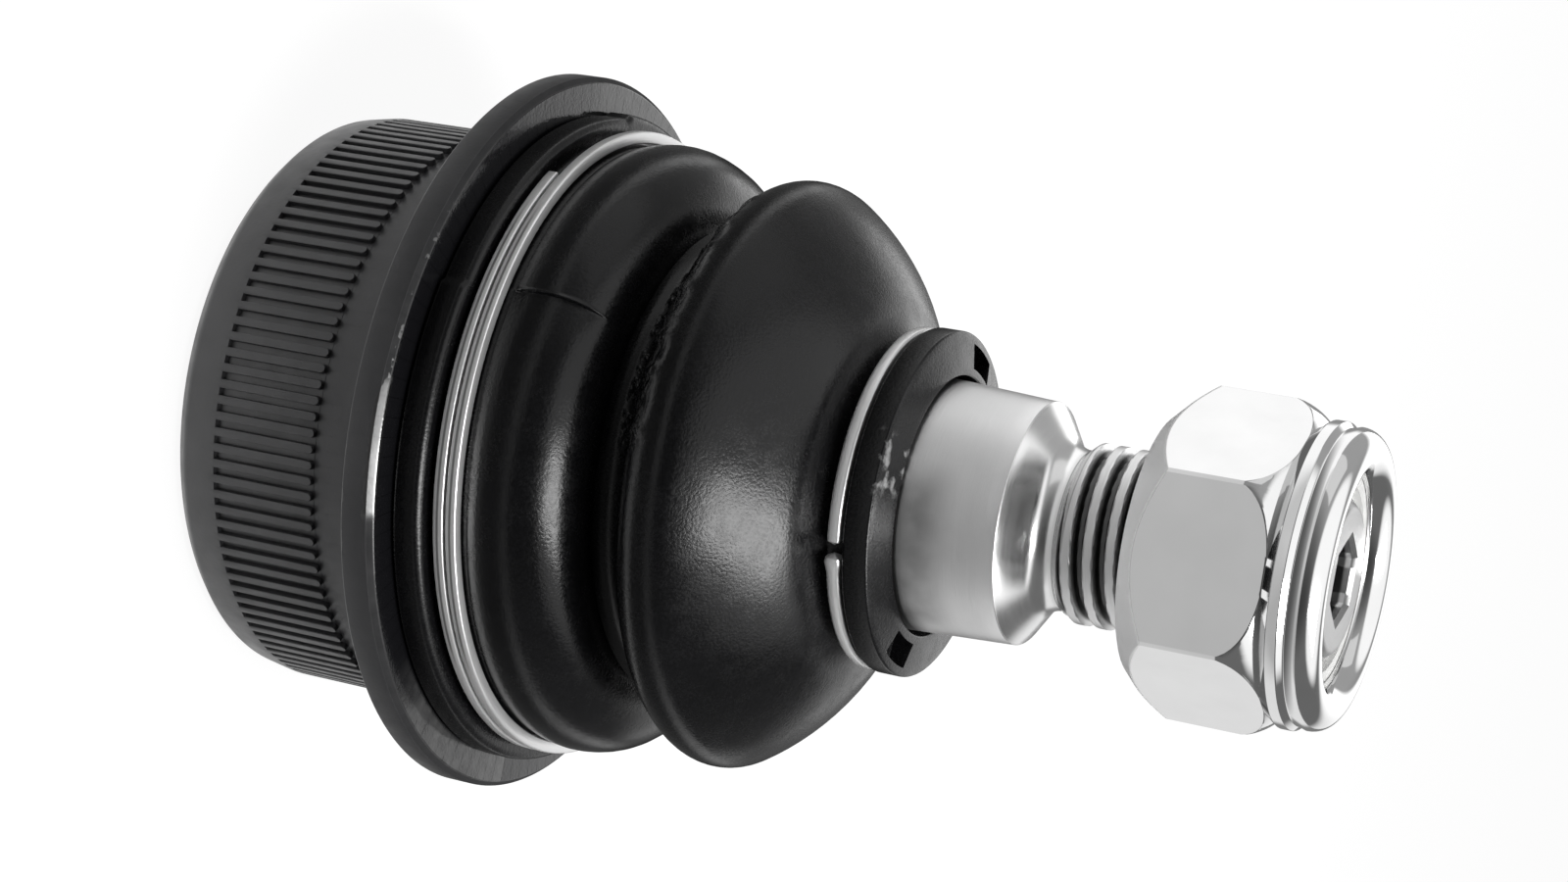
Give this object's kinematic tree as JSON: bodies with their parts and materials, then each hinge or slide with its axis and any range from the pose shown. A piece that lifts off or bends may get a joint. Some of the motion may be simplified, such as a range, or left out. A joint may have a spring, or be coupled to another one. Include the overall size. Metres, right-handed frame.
{
  "type": "suspension ball joint",
  "caption": "Press-in suspension ball joint: knurled flanged housing, ball in plastic seats, clamped dust boot, tapered stud with threaded end and lock nut.",
  "frame": {"origin": "centre of the ball, which is the pivot of the joint and lies on the axis of the press-fit body", "axes": "+Z along the stud, from the housing towards the lock nut; the front of the picture's view is the -Y side"},
  "size_m": [0.0502, 0.0502, 0.0762],
  "materials": {
    "housing_steel": "satin black phosphate coating",
    "cover_steel": "satin black phosphate coating",
    "spring_steel": "dull spring steel",
    "seat_plastic": "natural white acetal",
    "stud_steel": "ground steel",
    "boot_rubber": "moulded black rubber",
    "ring_wire": "bright spring wire",
    "nut_plating": "bright plated",
    "insert_plastic": "natural nylon"
  },
  "bodies": {
    "housing": {"housing": "housing_steel", "cover_plate": "cover_steel", "preload_washer": "spring_steel", "upper_seat": "seat_plastic", "dust_boot": "boot_rubber", "boot_clamp_ring": "ring_wire"},
    "seat_cup": {"lower_seat": "seat_plastic"},
    "boot_neck": {"boot_neck_ring": "ring_wire"},
    "stud": {"ball_stud": "stud_steel"},
    "nut_carrier": {"nut_insert": "insert_plastic"},
    "nut": {"lock_nut": "nut_plating"}
  },
  "joints": [
    {"name": "tilt_direction", "type": "hinge", "parent": "housing", "child": "seat_cup", "pos_m": [0, 0, 0], "axis": [0, 0, 1], "continuous": true},
    {"name": "stud_tilt", "type": "hinge", "parent": "seat_cup", "child": "boot_neck", "pos_m": [0, 0, 0], "axis": [0, 1, 0], "range_deg": [-20, 20], "deforming": ["dust_boot"]},
    {"name": "stud_spin", "type": "hinge", "parent": "boot_neck", "child": "stud", "pos_m": [0, 0, 0], "axis": [0, 0, 1], "continuous": true},
    {"name": "nut_travel", "type": "slide", "parent": "stud", "child": "nut_carrier", "axis": [0, 0, 1], "range_m": [-0.00451, 0.01201]},
    {"name": "nut_spin", "type": "hinge", "parent": "nut_carrier", "child": "nut", "pos_m": [0, 0, 0.047], "axis": [0, 0, 1], "range_deg": [-1080, 2880]}
  ],
  "couplings": [
    {"joint": "nut_travel", "follows": "nut_spin", "m_per_rad": 0.00023873}
  ]
}
